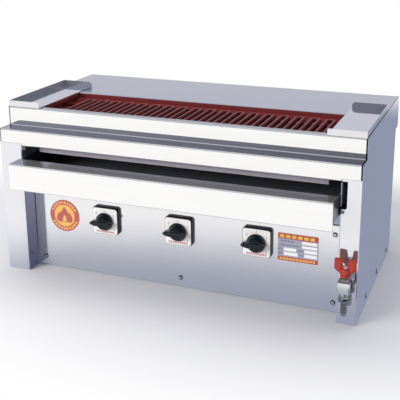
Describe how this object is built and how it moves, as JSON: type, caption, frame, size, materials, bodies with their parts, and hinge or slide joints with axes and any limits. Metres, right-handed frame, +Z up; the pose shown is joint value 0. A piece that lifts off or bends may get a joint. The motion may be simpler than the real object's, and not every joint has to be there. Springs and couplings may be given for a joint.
{
  "type": "electric skewer grill",
  "caption": "Counter-top electric skewer grill: bent stainless casing over sheathed heaters, with a water drawer, rotary switches, loose end trays and a drain valve.",
  "frame": {"origin": "on the surface the grill stands on, under the middle of its bounding box", "axes": "+X along the grill to the right as seen from the front, +Y to the rear, +Z up"},
  "size_m": [0.6522, 0.392, 0.3108],
  "materials": {
    "casing_steel": "polished stainless sheet",
    "mirror_steel": "mirror polished stainless sheet",
    "inner_steel": "mill finish stainless sheet",
    "drawer_steel": "polished stainless sheet",
    "tray_steel": "satin stainless sheet",
    "heater_red": "dark red coated sheath",
    "reflector_red": "dark red heat-stained sheet",
    "support_steel": "heat-stained steel",
    "bushing_white": "glazed white ceramic",
    "stud_steel": "plain steel",
    "pipe_copper": "plain drawn tube",
    "valve_chrome": "satin chrome on brass",
    "barb_chrome": "bright chrome",
    "stem_brass": "turned",
    "handle_red": "red enamel",
    "frame_black": "fine matt",
    "card_white": "printed card",
    "block_plastic": "moulded",
    "knob_black": "moulded satin",
    "badge": "printed disc",
    "label": "printed plate",
    "screw_steel": "polished domed heads",
    "terminal_cream": "moulded",
    "gland_black": "moulded",
    "wire_grey": "heat-proof sleeve"
  },
  "bodies": {
    "casing": {"front_fascia": "mirror_steel", "top_deck": "casing_steel", "rear_panel": "inner_steel", "base_pan": "inner_steel", "cross_rail": "mirror_steel", "control_panel": "casing_steel", "partition_plate": "inner_steel", "fire_box": "inner_steel", "reflector_plate": "reflector_red", "heater_supports": "support_steel", "heater_bushings": "bushing_white", "heater_terminals": "stud_steel", "drain_tray": "inner_steel", "drain_pipe": "pipe_copper", "drain_lock_nut": "stud_steel", "valve_body": "valve_chrome", "valve_bonnet": "barb_chrome", "hose_barb": "barb_chrome", "badge_disc": "badge", "rating_plate": "label", "panel_screws": "screw_steel", "side_screws": "screw_steel", "rear_screws": "screw_steel", "terminal_block": "terminal_cream", "block_screws": "stud_steel", "cable_gland": "gland_black", "gland_nut": "gland_black", "heater_loom": "wire_grey", "switch_wiring": "wire_grey", "side_panel_left": "casing_steel", "drawer_rail_left": "inner_steel", "side_panel_right": "casing_steel", "drawer_rail_right": "inner_steel", "heater_left": "heater_red", "switch_frame_left": "frame_black", "switch_dial_left": "card_white", "switch_block_left": "block_plastic", "heater_middle": "heater_red", "switch_frame_middle": "frame_black", "switch_dial_middle": "card_white", "switch_block_middle": "block_plastic", "heater_right": "heater_red", "switch_frame_right": "frame_black", "switch_dial_right": "card_white", "switch_block_right": "block_plastic"},
    "drawer": {"drawer_pan": "drawer_steel", "drawer_front": "mirror_steel"},
    "drain_handle": {"valve_handle": "handle_red", "valve_stem": "stem_brass"},
    "tray_left": {"end_tray_left": "tray_steel"},
    "tray_right": {"end_tray_right": "tray_steel"},
    "knob_left": {"switch_knob_left": "knob_black", "switch_shaft_left": "stud_steel"},
    "knob_middle": {"switch_knob_middle": "knob_black", "switch_shaft_middle": "stud_steel"},
    "knob_right": {"switch_knob_right": "knob_black", "switch_shaft_right": "stud_steel"}
  },
  "joints": [
    {"name": "drawer_slide", "type": "slide", "parent": "casing", "child": "drawer", "axis": [0, -1, 0], "range_m": [0, 0.15]},
    {"name": "tray_left_lift", "type": "slide", "parent": "casing", "child": "tray_left", "axis": [0, 0, 1], "range_m": [0, 0.06]},
    {"name": "tray_right_lift", "type": "slide", "parent": "casing", "child": "tray_right", "axis": [0, 0, 1], "range_m": [0, 0.06]},
    {"name": "knob_left_turn", "type": "hinge", "parent": "casing", "child": "knob_left", "pos_m": [-0.1315, -0.1283, 0.1075], "axis": [0, 1, 0], "range_deg": [0, 270]},
    {"name": "knob_middle_turn", "type": "hinge", "parent": "casing", "child": "knob_middle", "pos_m": [0.009, -0.1283, 0.1075], "axis": [0, 1, 0], "range_deg": [0, 270]},
    {"name": "knob_right_turn", "type": "hinge", "parent": "casing", "child": "knob_right", "pos_m": [0.1495, -0.1283, 0.1075], "axis": [0, 1, 0], "range_deg": [0, 270]},
    {"name": "drain_handle_turn", "type": "hinge", "parent": "casing", "child": "drain_handle", "pos_m": [0.3065, -0.17, 0.091], "axis": [0, 0, 1], "range_deg": [0, 90]}
  ]
}
